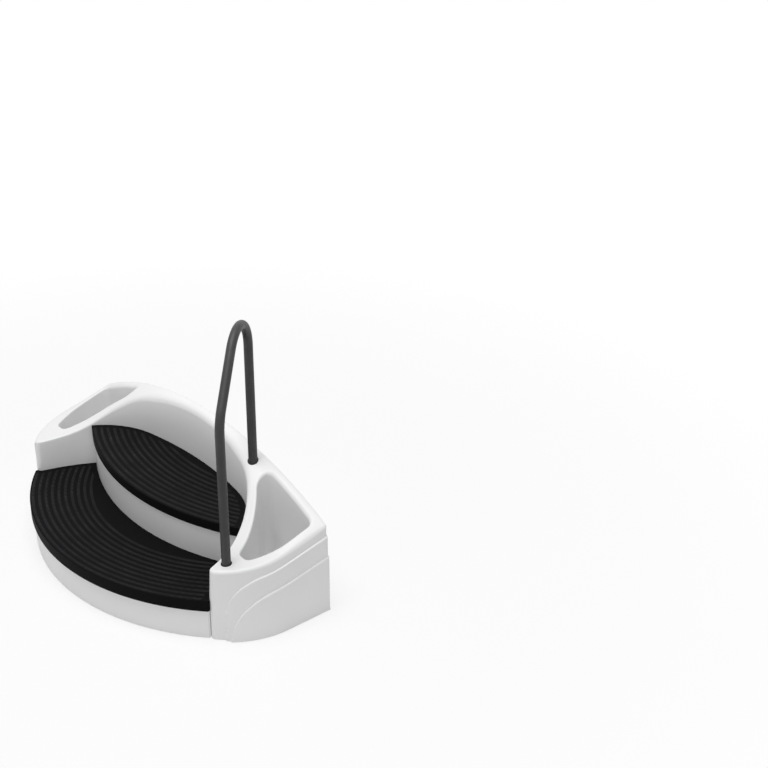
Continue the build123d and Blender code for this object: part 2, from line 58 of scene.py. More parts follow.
# ================================================================ surround: arch and two pods
# The arch and the two hollow pods are one rotationally moulded shell of white polyethylene. Its
# corners are soft: broad rolls along the arch, smaller ones round the pods, and rolled pocket lips.
# It is built from its plan outline, because its rolls change in size along the edge.
back_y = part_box("surround")[1].y
foot_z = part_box("surround")[0].z
rim_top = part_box("surround")[1].z
half_width = 0.809            # middle to a pod's side, above the ledges
side_straight, bow_radius, nose_radius = 0.220, 0.345, 0.022
well_back = 0.071             # back face to the well's middle
well_radii = (1.690, 0.342, 0.778)
well_turns = (radians(11.26), radians(46.40), radians(14.20))
upright_top = 0.190           # the well's walls lean out above this
well_lean = 0.05
lean_reach = 0.020            # lean of the second outline, for reading off any lean between
corner_round = 0.009          # upright corners at the back
nose_height = 0.329           # rim at the pods' noses
side_rise, side_reach, side_power = 0.076, 0.520, 1.8       # the rim's rise along a pod's side
side_least = 0.02             # least share of that reach, at the noses
crest_lead, crest_reach, crest_power = 0.0005, 0.245, 2.5   # the arch's fall towards the front
past_end = 0.85               # half a width beyond the moulding, where its surface may stop
outline_parts = {"back": 70, "corner": 6, "side": 26, "bow": 50, "nose": 16, "lead": 8,
                 "well": (40, 44, 24)}      # mesh points along each part of the outline


def moulding_height(x, back):
    """Height of the rim's surface, which falls from the arch's crest to the pods' noses."""
    side = nose_height + side_rise * np.maximum(1 - back / side_reach, side_least) ** side_power
    fall = np.exp(-(np.maximum(back, 0) / crest_reach) ** crest_power)
    crest = nose_height + (rim_top + crest_lead - nose_height) * fall
    rise = np.maximum(crest - side, 1e-6)
    radius = (half_width ** 2 + rise ** 2) / (2 * rise)
    return crest - radius + np.sqrt(radius ** 2 - np.minimum(np.abs(x), past_end) ** 2)


def arc_points(centre, radius, start, end, count):
    """Points and outward directions along an arc, its last point left out."""
    angles = np.linspace(start, end, count + 1)[:-1]
    out = np.stack([np.cos(angles), np.sin(angles)], 1)
    return np.array(centre) + radius * out, out


def outline(lean):
    """Right half of the plan outline, from the middle of the back to the arch's front.

    Gives (x, back) points, the directions out of the material, and where each part starts.
    A lean shifts the well's wall."""
    x, back, heading, ends = 0.0, well_back - lean, 0.0, []
    for radius, turn in zip(well_radii, well_turns):
        reach = radius + lean
        ends.append((x - reach * sin(heading), back + reach * cos(heading),
                     reach, heading, heading + turn))
        x += reach * (sin(heading + turn) - sin(heading))
        back += reach * (cos(heading) - cos(heading + turn))
        heading += turn
    bow = np.array((half_width - bow_radius, side_straight))
    along = np.array((cos(heading), sin(heading)))
    start = np.array((x, back)) + nose_radius * np.array((sin(heading), -cos(heading))) - bow
    lead = start @ along
    run = -lead + sqrt(lead ** 2 - (start @ start - (bow_radius - nose_radius) ** 2))
    nose = start + run * along
    bow_turn = atan2(nose[1], nose[0])
    back_x = np.linspace(0, half_width - corner_round, outline_parts["back"] + 1)[:-1]
    side_b = np.linspace(corner_round, side_straight, outline_parts["side"] + 1)[:-1]
    corner = (half_width - corner_round, corner_round)
    pieces = [(np.stack([back_x, 0 * back_x], 1), np.tile((0.0, -1.0), (len(back_x), 1))),
              arc_points(corner, corner_round, -pi / 2, 0, outline_parts["corner"]),
              (np.stack([0 * side_b + half_width, side_b], 1),
               np.tile((1.0, 0.0), (len(side_b), 1))),
              arc_points(bow, bow_radius, 0, bow_turn, outline_parts["bow"]),
              arc_points(bow + nose, nose_radius, bow_turn, pi / 2 + heading,
                         outline_parts["nose"])]
    share = np.linspace(0, 1, outline_parts["lead"] + 1)[:-1, None]
    straight = np.array((x, back)) + (1 - share) * run * along
    pieces.append((straight, np.tile((-sin(heading), cos(heading)), (len(straight), 1))))
    for (cx, cb, reach, low, high), parts in reversed(list(zip(ends, outline_parts["well"]))):
        turned = np.linspace(high, low, parts + 1)[:-1]
        out = np.stack([-np.sin(turned), np.cos(turned)], 1)
        pieces.append((np.array((cx, cb)) - reach * out, out))
    points = np.concatenate([p for p, out in pieces] + [[(0.0, well_back - lean)]])
    out = np.concatenate([o for p, o in pieces] + [[(0.0, 1.0)]])
    marks = np.cumsum([0] + [len(p) for p, o in pieces])
    return points, out, marks


base_line, out_ways, marks = outline(0.0)
leant_line = outline(lean_reach)[0]
count = len(base_line)
nose_start, well_start = marks[4], marks[5]


def wall_at(z, which=slice(None)):
    """Plan points of the outer wall at these heights."""
    share = np.maximum(z - upright_top, 0) * well_lean / lean_reach
    return base_line[which] + (leant_line[which] - base_line[which]) * share[..., None]


# Size of the roll at each outline point: back edge, corner, side and bow, nose, well. Along the
# back and the well it follows the distance from the middle, and beside the pod that from the back.
pod_roll, nose_roll = 0.014, 0.007
back_rolls = ((0.0, 0.38, 0.60, 0.76, 0.80), (0.019, 0.019, 0.014, 0.009, 0.009))
side_rolls = ((0.01, 0.09), (corner_round, pod_roll))
well_rolls = ((0.0, 0.32, 0.40, 0.46, 0.56, 0.62), (0.028, 0.029, 0.021, 0.017, 0.009, nose_roll))
roll = np.interp(base_line[:, 0], *back_rolls)
roll[marks[1]:marks[2]] = corner_round
roll[marks[2]:marks[3]] = np.interp(base_line[marks[2]:marks[3], 1], *side_rolls)
roll[marks[3]:nose_start] = pod_roll
roll[nose_start:well_start] = np.linspace(pod_roll, nose_roll, well_start - nose_start)
roll[well_start:] = np.interp(base_line[well_start:, 0], *well_rolls)


def roll_ring(angle):
    """Plan points and heights of the roll at this angle, from 0 on the wall to 90 on the rim."""
    inward = roll * (1 - cos(angle))
    height = moulding_height(base_line[:, 0], base_line[:, 1]) - roll
    for _ in range(5):            # the height and the lean at that height settle together
        plan = wall_at(height) - out_ways * inward[:, None]
        height = moulding_height(plan[:, 0], plan[:, 1]) - roll * (1 - sin(angle))
    return plan, height


def roll_drop(plan):
    """How far the rolls lower the rim's surface at these plan points."""
    gaps = plan[:, None, :] - roll_edge[None, :-1, :]
    spans = roll_edge[1:] - roll_edge[:-1]
    share = np.clip((gaps * spans).sum(2) / (spans ** 2).sum(1), 0, 1)
    away = np.linalg.norm(gaps - share[..., None] * spans, axis=2)
    nearest = away.argmin(1)
    rows = np.arange(len(plan))
    size = roll[nearest] + (roll[nearest + 1] - roll[nearest]) * share[rows, nearest]
    inside = np.clip(size - away[rows, nearest], 0, size)
    return size - np.sqrt(size ** 2 - inside ** 2)


roll_edge = roll_ring(0.0)[0]


def in_loop(points, loop):
    """Which points lie inside a closed loop."""
    x, y = points[:, 0][:, None], points[:, 1][:, None]
    ax, ay = loop[:, 0], loop[:, 1]
    bx, by = np.roll(ax, -1), np.roll(ay, -1)
    crosses = (ay > y) != (by > y)
    with np.errstate(divide="ignore", invalid="ignore"):
        meet = ax + (y - ay) * (bx - ax) / (by - ay)
    return (crosses & (x < meet)).sum(1) % 2 == 1


def fill(loop, holes, lines, spacing, clear):
    """Triangles over a loop with holes, following lines, with evenly spread points between them."""
    points, edges = [], []
    chains = [(chain, True) for chain in [loop, *holes]] + [(chain, False) for chain in lines]
    for chain, closed in chains:
        first = len(points)
        points += [tuple(p) for p in chain]
        edges += [(first + i, first + i + 1) for i in range(len(chain) - 1)]
        if closed:
            edges.append((first + len(chain) - 1, first))
    fixed = np.array(points)
    low, high = loop.min(0), loop.max(0)
    row_gap = spacing * 0.87          # as in even triangles
    grid = np.array([(x + (row % 2) * spacing / 2, y)
                     for row, y in enumerate(np.arange(low[1], high[1], row_gap))
                     for x in np.arange(low[0], high[0], spacing)])
    grid = grid[in_loop(grid, loop)]
    for hole in holes:
        grid = grid[~in_loop(grid, hole)]
    far = [np.hypot(*(fixed - g).T).min() > clear for g in grid]
    everything = [Vector(p) for p in points] + [Vector(g) for g in grid[far]]
    made, _, triangles, *_ = delaunay_2d_cdt(everything, edges, [], 0, 1e-7)
    made = np.array([tuple(v) for v in made])
    triangles = np.array(triangles)
    middle = made[triangles].mean(1)
    keep = in_loop(middle, loop)
    for hole in holes:
        keep &= ~in_loop(middle, hole)
    return made, triangles[keep]


class Shell:
    """Points and faces gathered into one mesh."""

    def __init__(self):
        self.points, self.faces = [], []

    def add(self, points, faces, mirror=True):
        for side in ((1, -1) if mirror else (1,)):
            first = len(self.points)
            self.points += [(side * x, back_y - back, z) for x, back, z in points]
            self.faces += [tuple(first + i for i in face[::side]) for face in faces]

    def strips(self, rows, closed=False):
        """Quads between rows of as many points each."""
        size = len(rows[0])
        points = [tuple(p) for row in rows for p in row]
        last = size if closed else size - 1
        faces = [(low + i, low + (i + 1) % size, low + size + (i + 1) % size, low + size + i)
                 for low in range(0, len(points) - size, size) for i in range(last)]
        self.add(points, faces)


# The roll's rings up from the wall are made here, and the rim's top follows the inner ones
shell = Shell()
quarter = pi / 2
ring_angles = [radians(a) for a in (0, 9, 18, 27)]
inner_angles = [radians(a) for a in (36, 45, 54, 63, 72, 81, 90)]
rings = {a: roll_ring(a) for a in ring_angles + inner_angles}
shell.strips([np.column_stack(rings[a]) for a in ring_angles])
wall_top = rings[0.0][1]

# Wall of the nose and the well, upright to the first tread and leaning above it
front = slice(nose_start, None)
upright_rows = [np.full(count - nose_start, foot_z + (upright_top - foot_z) * share)
                for share in (0.0, 0.5, 1.0)]
leaning_rows = [upright_top + (wall_top[front] - upright_top) * share
                for share in (0.2, 0.4, 0.6, 0.8, 1.0)]
rows = [np.column_stack([wall_at(z, front), z]) for z in upright_rows + leaning_rows]
shell.strips(rows)

# Ledges on each pod's outside: the shell steps out twice, along lines that sweep forward and down.
# A line has its height at the back, its turn's reach from the bow's front and height, its foot's
# reach, and the turn's radius.
ledge_step, ledge_slope = 0.008, 0.0032         # how far each steps out, and the width of its slope
ledge_lines = ((0.357, 0.122, 0.267, 0.109, 0.155), (0.262, 0.156, 0.189, 0.125, 0.195))
lead_in, lead_rise = 0.020, 0.004     # a line starts this far behind the back, and this much higher
guide_offsets = (-0.0019, -0.0013, -0.0006, 0.0, 0.0006, 0.0013, 0.0019)    # mesh rows on a slope
back_gap, foot_gap = 0.004, 0.002     # those rows stop this short of the back corner and the foot
turn_points = 60              # points along a line's turn, and along its run up to it
bow_front = side_straight + bow_radius


def rounded_turn(corners, radius):
    """Line through three corners with its turn rounded."""
    a, b, c = (np.array(p) for p in corners)
    u, v = (a - b) / np.linalg.norm(a - b), (c - b) / np.linalg.norm(c - b)
    half = np.arccos(np.clip(u @ v, -1, 1)) / 2
    cut = radius / np.tan(half)
    middle = b + (u + v) / np.linalg.norm(u + v) * radius / sin(half)
    start, end = b + cut * u - middle, b + cut * v - middle
    low, high = atan2(start[1], start[0]), atan2(end[1], end[0])
    if abs(high - low) > pi:
        high += 2 * pi if high < low else -2 * pi
    angles = np.linspace(low, high, turn_points)
    arc = middle + radius * np.stack([np.cos(angles), np.sin(angles)], 1)
    first = a + (arc[0] - a) * np.linspace(0, 1, turn_points)[:-1, None]
    return np.concatenate([first, arc, [c]])


def round_the_bow(back):
    """Distance along the pod's side from its back, for a distance from the back face."""
    past = np.clip((back - side_straight) / bow_radius, 0, 1)
    return np.where(back < side_straight, back, side_straight + bow_radius * np.arcsin(past))


side_part = slice(marks[1], nose_start + 1)
side_points = base_line[side_part]
side_run = np.concatenate([[0], np.cumsum(np.hypot(*np.diff(side_points, axis=0).T))])
side_run += corner_round - side_run[marks[2] - marks[1]]
side_ways = out_ways[side_part].copy()
side_ways[:marks[2] - marks[1]] = (1, 0)
sweeps = []
for back_height, turn, turn_height, foot, radius in ledge_lines:
    start = (-lead_in, back_height + lead_rise)
    line = rounded_turn((start, (bow_front - turn, turn_height), (bow_front - foot, 0.0)), radius)
    sweeps.append(np.column_stack([round_the_bow(line[:, 0]), line[:, 1]]))


def below_sweep(places, line):
    """Signed distance below a ledge's line, in the unrolled side."""
    gaps = places[:, None, :] - line[None, :-1, :]
    spans = line[1:] - line[:-1]
    share = np.clip((gaps * spans).sum(2) / (spans ** 2).sum(1), 0, 1)
    away = gaps - share[..., None] * spans
    distance = np.linalg.norm(away, axis=2)
    nearest = distance.argmin(1)
    rows = np.arange(len(places))
    turn = spans[nearest, 0] * gaps[rows, nearest, 1] - spans[nearest, 1] * gaps[rows, nearest, 0]
    return -np.sign(turn) * distance[rows, nearest]


def side_place(places):
    """Plan point and height of places on the unrolled side, with the ledges stepping out."""
    out = np.zeros(len(places))
    for line in sweeps:
        share = np.clip(below_sweep(places, line) / ledge_slope + 0.5, 0, 1)
        out += ledge_step * share * share * (3 - 2 * share)
    plan = np.stack([np.interp(places[:, 0], side_run, side_points[:, i]) for i in (0, 1)], 1)
    way = np.stack([np.interp(places[:, 0], side_run, side_ways[:, i]) for i in (0, 1)], 1)
    return np.column_stack([plan + out[:, None] * way, places[:, 1]])


# Rows of the mesh up the pod's back corner, closer together at the ledges. Those near the ledges
# are set lower by the rise that the ledges' lines lose before they reach the corner.
side_top = wall_top[side_part]
nose_rows = np.array([row[0][2] for row in rows])
near_ledge = (-6, -2.1, -1.4, -0.7, 0, 0.7, 1.4, 2.1, 6)        # millimetres from a line
ledge_low, ledge_high = 0.25, 0.37    # heights between which the rows are set lower
end_rows = sorted({foot_z, 0.06, 0.12, 0.18, 0.22, 0.30, 0.33, 0.375, 0.385}
                  | {line[0, 1] + d * 0.001 for line in sweeps for d in near_ledge})
back_rows = np.array([z - lead_rise if ledge_low < z < ledge_high else z for z in end_rows]
                     + [side_top[0]])
loop = np.concatenate([np.column_stack([side_run, 0 * side_run + foot_z]),
                       np.column_stack([0 * nose_rows[1:-1] + side_run[-1], nose_rows[1:-1]]),
                       np.column_stack([side_run, side_top])[::-1],
                       np.column_stack([0 * back_rows[1:-1] + side_run[0], back_rows[1:-1]])[::-1]])
guides = []
for line in sweeps:
    spans = np.gradient(line, axis=0)
    normal = np.column_stack([-spans[:, 1], spans[:, 0]]) / np.hypot(*spans.T)[:, None]
    for away in guide_offsets:
        guide = line + away * normal
        clear_of_edge = (guide[:, 0] > side_run[0] + back_gap) & (guide[:, 1] > foot_z + foot_gap)
        guides.append(guide[clear_of_edge])
places, triangles = fill(loop, [], guides, spacing=0.011, clear=0.006)
shell.add(side_place(places), triangles.tolist())

# Flat back, whose ends follow the ledges
shares = (back_rows - foot_z) / (back_rows[-1] - foot_z)
columns = [np.column_stack([0 * shares + x, 0 * shares, foot_z + shares * (top - foot_z)])
           for x, top in zip(base_line[:marks[1], 0], wall_top)]
columns.append(side_place(np.column_stack([0 * back_rows + side_run[0], back_rows])))
shell.strips(columns)

# Pockets: a tub in each pod with a rolled lip, leaning walls and a rounded floor
pocket_strip = 0.041          # rim left between the pocket and the pod's side
pocket_back, pocket_end, pocket_front = 0.043, 0.485, 0.341
front_reach = 0.560           # the line of its front runs in to here, past the side along the well
pocket_straight, pocket_bow, bow_end = 0.162, 0.375, 60     # its outer side: a straight and a bow
well_middle, well_radius = np.array((half_width - 0.602, 0.511)), 0.489
well_round = 0.060            # turn from the side along the well into the inner end
pocket_corner, pocket_draft = 0.028, 0.02
pocket_floor, floor_round = 0.120, 0.012
lip_roll, back_lip_extra = 0.010, 0.007         # the lip's roll, and what it gains along the back
drain_radius, drain_points = 0.0124, 32
line_points, bow_points, corner_points = 161, 241, 15       # points along each part of its outline
loop_points = 180             # points round the pocket in the mesh
lip_rings, wall_rings, foot_rings = 11, 8, 6    # rows of the mesh down its lip, wall and foot


def rounded_loop(tracks, radius):
    """Closed loop along tracks that cross one another, with its corners rounded.

    Each track has points and directions out of the loop. Gives the loop's points and directions."""
    shrunk = [np.column_stack([t[:, :2] - radius * t[:, 2:], t[:, 2:]]) for t in tracks]
    cuts, whole = [], []
    for i, track in enumerate(shrunk):
        after = shrunk[(i + 1) % len(shrunk)]
        gaps = np.linalg.norm(track[:, None, :2] - after[None, :, :2], axis=2)
        cuts.append(np.unravel_index(gaps.argmin(), gaps.shape))
    for i, track in enumerate(shrunk):
        begin, stop = cuts[i - 1][1], cuts[i][0]
        kept = track[begin:stop + 1]
        whole.append(np.column_stack([kept[:, :2] + radius * kept[:, 2:], kept[:, 2:]]))
        after = shrunk[(i + 1) % len(shrunk)][cuts[i][1]]
        low, high = atan2(*track[stop, :1:-1]), atan2(*after[:1:-1])
        if high < low - 1e-6:
            high += 2 * pi
        angles = np.linspace(low, high, corner_points)[1:-1]
        way = np.stack([np.cos(angles), np.sin(angles)], 1)
        whole.append(np.column_stack([(track[stop, :2] + after[:2]) / 2 + radius * way, way]))
    points = np.concatenate(whole)
    closed = np.vstack([points, points[:1]])
    run = np.concatenate([[0], np.cumsum(np.hypot(*np.diff(closed[:, :2], axis=0).T))])
    even = np.linspace(0, run[-1], loop_points + 1)[:-1]
    spread = np.stack([np.interp(even, run, closed[:, i]) for i in range(4)], 1)
    spread[:, 2:] /= np.hypot(spread[:, 2], spread[:, 3])[:, None]
    return spread[:, :2], spread[:, 2:]


def straight_track(start, end, way):
    """Points along a line, each with this direction."""
    share = np.linspace(0, 1, line_points)[:, None]
    points = np.array(start) * (1 - share) + np.array(end) * share
    return np.column_stack([points, np.tile(way, (line_points, 1))])


def round_track(middle, radius, start, end, facing):
    """Points along an arc between angles in degrees, with directions out of it or into it."""
    angles = np.radians(np.linspace(start, end, bow_points))
    way = np.stack([np.cos(angles), np.sin(angles)], 1)
    return np.column_stack([np.array(middle) + radius * way, facing * way])


outer_side = half_width - pocket_strip
turn_x = pocket_end + well_round - well_middle[0]
turn_middle = well_middle + (turn_x, -sqrt((well_radius + well_round) ** 2 - turn_x ** 2))
turn_start = np.degrees(atan2(*(well_middle - turn_middle)[::-1]))
outer_track = np.concatenate([
    straight_track((outer_side, pocket_back), (outer_side, pocket_straight), (1.0, 0.0)),
    round_track((outer_side - pocket_bow, pocket_straight), pocket_bow, 0.5, bow_end, 1)])
pocket_line, pocket_ways = rounded_loop([
    straight_track((pocket_end, pocket_back), (outer_side, pocket_back), (0.0, -1.0)),
    outer_track,
    straight_track((outer_side, pocket_front), (front_reach, pocket_front), (0.0, 1.0)),
    round_track(well_middle, well_radius, -12, turn_start - 180, -1),
    round_track(turn_middle, well_round, turn_start, 180, 1),
    straight_track((pocket_end, turn_middle[1]), (pocket_end, pocket_back), (-1.0, 0.0)),
], pocket_corner)
pocket_lip = lip_roll + back_lip_extra * np.clip(-pocket_ways[:, 1], 0, 1) ** 2
lip_rows = []
for angle in np.linspace(quarter, 0, lip_rings):
    plan = pocket_line + pocket_ways * (pocket_lip * (1 - cos(angle)))[:, None]
    z = moulding_height(*plan.T) - pocket_lip * (1 - sin(angle))
    lip_rows.append(np.column_stack([plan, z]))
lip_foot = lip_rows[-1][:, 2]
lip_edge = lip_rows[0][:, :2]
wall_foot = pocket_floor + floor_round
for share in np.linspace(0, 1, wall_rings)[1:]:
    z = lip_foot + (wall_foot - lip_foot) * share
    plan = pocket_line - pocket_ways * (pocket_draft * (lip_foot - z))[:, None]
    lip_rows.append(np.column_stack([plan, z]))
foot_line = lip_rows[-1][:, :2]
for angle in np.linspace(0, quarter, foot_rings)[1:]:
    plan = foot_line - pocket_ways * floor_round * (1 - cos(angle))
    z = pocket_floor + floor_round * (1 - sin(angle))
    lip_rows.append(np.column_stack([plan, np.full(len(plan), z)]))
shell.strips(lip_rows, closed=True)
drain_spot = (half_width - 0.169, 0.150)
drain_hole = arc_points(drain_spot, drain_radius, 0, 2 * pi, drain_points)[0]
places, triangles = fill(lip_rows[-1][:, :2], [drain_hole], [], spacing=0.022, clear=0.011)
shell.add(np.column_stack([places, np.full(len(places), pocket_floor)]), triangles.tolist())

# Top of the rim, with the handrail's two holes on the right
grommets = ("front_rail_grommet", "back_rail_grommet")
feet = [Vector([(a + b) / 2 for a, b in zip(*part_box(name))]) for name in grommets]
feet = [(foot.x, back_y - foot.y) for foot in feet]
bore_radius, bore_points = 0.0216, 40
middle_points = 16                    # points across the top where the two halves meet
bore_gap, middle_gap = 0.002, 0.0004  # the roll's lines stop this short of a hole and of the middle
least_step = 0.0015                   # closer points along the roll's last line are left out
batch = 400                           # points worked out at a time, to save memory
outer_ring = rings[ring_angles[-1]][0]
middle_line = np.linspace(outer_ring[-1, 1], outer_ring[0, 1], middle_points)[1:-1]
loop = np.concatenate([outer_ring, np.column_stack([0 * middle_line, middle_line])])


def top_height(plan):
    """Height of the finished rim, rolls included."""
    parts = [plan[i:i + batch] for i in range(0, len(plan), batch)]
    return np.concatenate([moulding_height(*part.T) - roll_drop(part) for part in parts])


for side, bores in ((1, feet), (-1, [])):
    holes = [lip_edge]
    holes += [arc_points(foot, bore_radius, 0, 2 * pi, bore_points)[0] for foot in bores]
    lines = []
    for angle in inner_angles:
        plan = rings[angle][0]
        clear = plan[:, 0] > middle_gap
        for x, back in bores:
            clear &= np.hypot(plan[:, 0] - x, plan[:, 1] - back) > bore_radius + bore_gap
        for chain in np.split(np.arange(len(plan)), np.where(~clear)[0]):
            chain = chain[clear[chain]]
            if angle == inner_angles[-1] and len(chain) > 1:
                steps = np.hypot(*np.diff(plan[chain], axis=0).T)
                chain = chain[np.concatenate([[True], steps > least_step])]
            if len(chain) > 1:
                lines.append(plan[chain])
    places, triangles = fill(loop, holes, lines, spacing=0.013, clear=0.0075)
    # Points on the roll's last ring keep its exact heights, so that the two surfaces meet
    on_edge = {tuple(np.round(p, 7)): z for p, z in zip(*rings[ring_angles[-1]])}
    height = [on_edge.get(tuple(np.round(p, 7)), z) for p, z in zip(places, top_height(places))]
    points = np.column_stack([side * places[:, 0], places[:, 1], height])
    shell.add(points, [t[::side] for t in triangles.tolist()], mirror=False)

# Hidden inner skin, posts and the standing edge come from the moulding's own node
skin_depth = 0.0042           # what lies further than this under the outer skin is inside
floor_reach, hole_reach = 0.0002, 0.0003        # tolerances for the standing edge and hole walls
top_gap, top_reach = 0.004, 0.060     # the inner skin keeps this far under the rim, in this depth
tub_reach = 0.060             # further than this from the pocket, either side of it is clear
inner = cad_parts["surround"].data
spots = np.empty(len(inner.vertices) * 3)
inner.vertices.foreach_get("co", spots)
spots = spots.reshape(-1, 3)
spots[:, 1] = back_y - spots[:, 1]


def depth_inside(points):
    """Distance of points from the outer wall and the pocket's wall, both measured in plan."""
    plan = np.column_stack([np.abs(points[:, 0]), points[:, 1]])
    wall = []
    for i in range(0, len(plan), batch):
        part, edge = plan[i:i + batch], wall_at(points[i:i + batch, 2:])
        nearest = np.linalg.norm(part[:, None, :] - edge, axis=2).argmin(1)
        gaps = part - edge[np.arange(len(part)), nearest]
        wall.append(-(gaps * out_ways[nearest]).sum(1))
    away = np.linalg.norm(plan[:, None, :] - pocket_line[None], axis=2)
    nearest = away.argmin(1)
    tub = ((plan - pocket_line[nearest]) * pocket_ways[nearest]).sum(1)
    tub = np.where(away.min(1) > tub_reach, np.abs(tub), tub)
    return np.concatenate(wall), np.maximum(tub, pocket_floor - points[:, 2])


wall_depth, tub_depth = depth_inside(spots)
rim_depth = moulding_height(np.abs(spots[:, 0]), spots[:, 1]) - spots[:, 2]
inside = (wall_depth > skin_depth) & (tub_depth > skin_depth) & (rim_depth > skin_depth)
on_floor = spots[:, 2] < foot_z + floor_reach
round_holes = [(foot, bore_radius) for foot in feet]
round_holes += [((side * drain_spot[0], drain_spot[1]), drain_radius) for side in (1, -1)]
hole_wall = np.zeros(len(spots), bool)
for (x, back), radius in round_holes:
    away = np.hypot(spots[:, 0] - x, spots[:, 1] - back)
    hole_wall |= np.abs(away - radius) < hole_reach
ceiling = top_height(np.column_stack([np.abs(spots[:, 0]), spots[:, 1]]))
lowered = np.minimum(spots[:, 2], ceiling - np.where(hole_wall, 0, top_gap))
lowered = np.where(rim_depth > top_reach, spots[:, 2], lowered)
kept = []
for face in inner.polygons:
    corners = list(face.vertices)
    if inside[corners].all() or on_floor[corners].all() or hole_wall[corners].all():
        kept.append(tuple(corners))
shell.add(np.column_stack([spots[:, :2], lowered]), kept, mirror=False)

mesh = bpy.data.meshes.new("surround_moulding")
mesh.from_pydata(shell.points, [], shell.faces)
surround = bpy.data.objects.new("surround_moulding", mesh)
bpy.context.scene.collection.objects.link(surround)
bpy.ops.object.select_all(action="DESELECT")
surround.select_set(True)
bpy.context.view_layer.objects.active = surround
bpy.ops.object.mode_set(mode="EDIT")
bpy.ops.mesh.select_all(action="SELECT")
bpy.ops.mesh.delete_loose()
bpy.ops.mesh.select_all(action="SELECT")
bpy.ops.mesh.remove_doubles(threshold=0.00002)
bpy.ops.mesh.select_all(action="SELECT")
bpy.ops.mesh.normals_make_consistent(inside=False)
bpy.ops.object.mode_set(mode="OBJECT")
bpy.ops.object.shade_smooth_by_angle(angle=radians(38))
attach(surround, "steps")
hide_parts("surround")


def colour(code):
    """Linear colour from an sRGB hex code."""
    channels = [int(code[i:i + 2], 16) / 255 for i in (1, 3, 5)]
    return (*[c / 12.92 if c <= 0.04045 else ((c + 0.055) / 1.055) ** 2.4 for c in channels], 1.0)


def add_node(tree, kind, settings=None, links=None):
    """Node with these input values or properties, linked from these sockets."""
    node = tree.nodes.new(kind)
    for name, value in (settings or {}).items():
        if isinstance(name, int) or name in node.inputs:
            node.inputs[name].default_value = value
        else:
            setattr(node, name, value)
    for name, socket in (links or {}).items():
        tree.links.new(socket, node.inputs[name])
    return node


def new_material(name, values):
    """Material with these values on its shader, and its nodes, its shader and its coordinates."""
    material = bpy.data.materials.new(name)
    material.use_nodes = True
    tree = material.node_tree
    skin = tree.nodes["Principled BSDF"]
    for socket, value in values.items():
        skin.inputs[socket].default_value = value
    return material, tree, skin, add_node(tree, "ShaderNodeTexCoord").outputs["Object"]


def join_skin(tree, skin, tone, dull, grain):
    """Links a material's colour, roughness and relief to its shader."""
    tree.links.new(tone.outputs["Color"], skin.inputs["Base Color"])
    tree.links.new(dull.outputs["Result"], skin.inputs["Roughness"])
    tree.links.new(grain.outputs["Normal"], skin.inputs["Normal"])


# Rotationally moulded polyethylene: a satin white that is matt close to and shines softly along
# its rolled edges. The mould's fine sand-blast gives an orange peel, real grain about 1.5 mm,
# drawn at 5 mm so that it shows, and the thick wall cools into waves some 200 mm long. Faint grey
# specks some 2 mm across and 7 mm apart are grit in the plastic, drawn wider than the real 0.5 mm.
polyethylene, tree, skin, place = new_material("rotomoulded_polyethylene", {"IOR": 1.5})
peel = add_node(tree, "ShaderNodeTexNoise", {"Scale": 200.0, "Detail": 3.0, "Roughness": 0.6},
                {"Vector": place})
waves = add_node(tree, "ShaderNodeTexNoise", {"Scale": 5.0, "Detail": 1.0}, {"Vector": place})
specks = add_node(tree, "ShaderNodeTexVoronoi", {"Scale": 150.0, "Randomness": 1.0},
                  {"Vector": place})
speck = add_node(tree, "ShaderNodeMapRange",
                 {"From Min": 0.06, "From Max": 0.20, "To Min": 0.16, "To Max": 0.0},
                 {"Value": specks.outputs["Distance"]})
clouds = add_node(tree, "ShaderNodeMixRGB",
                  {"Color1": colour("#f1f1f1"), "Color2": colour("#ececed")},
                  {"Fac": waves.outputs["Fac"]})
tone = add_node(tree, "ShaderNodeMixRGB", {"Color2": colour("#cacacb")},
                {"Fac": speck.outputs["Result"], "Color1": clouds.outputs["Color"]})
dull = add_node(tree, "ShaderNodeMapRange",
                {"From Min": 0.3, "From Max": 0.7, "To Min": 0.34, "To Max": 0.46},
                {"Value": peel.outputs["Fac"]})
swell = add_node(tree, "ShaderNodeBump", {"Strength": 0.35, "Distance": 0.002},
                 {"Height": waves.outputs["Fac"]})
grain = add_node(tree, "ShaderNodeBump", {"Strength": 0.12, "Distance": 0.0006},
                 {"Height": peel.outputs["Fac"], "Normal": swell.outputs["Normal"]})
join_skin(tree, skin, tone, dull, grain)
surround.data.materials.append(polyethylene)


def finish_node(name, material):
    """Gives a node of the model its material."""
    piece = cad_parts[name]
    if not piece.material_slots:
        piece.data.materials.append(material)
    for held in piece.material_slots:
        held.material = material


# ================================================================ step mouldings
# Two hollow boxes without a floor carry the treads: the lower one reaches forward between the
# pods, and the upper one is screwed onto it. They are moulded from the surround's polyethylene.
finish_node("lower_step", polyethylene)
finish_node("upper_step", polyethylene)

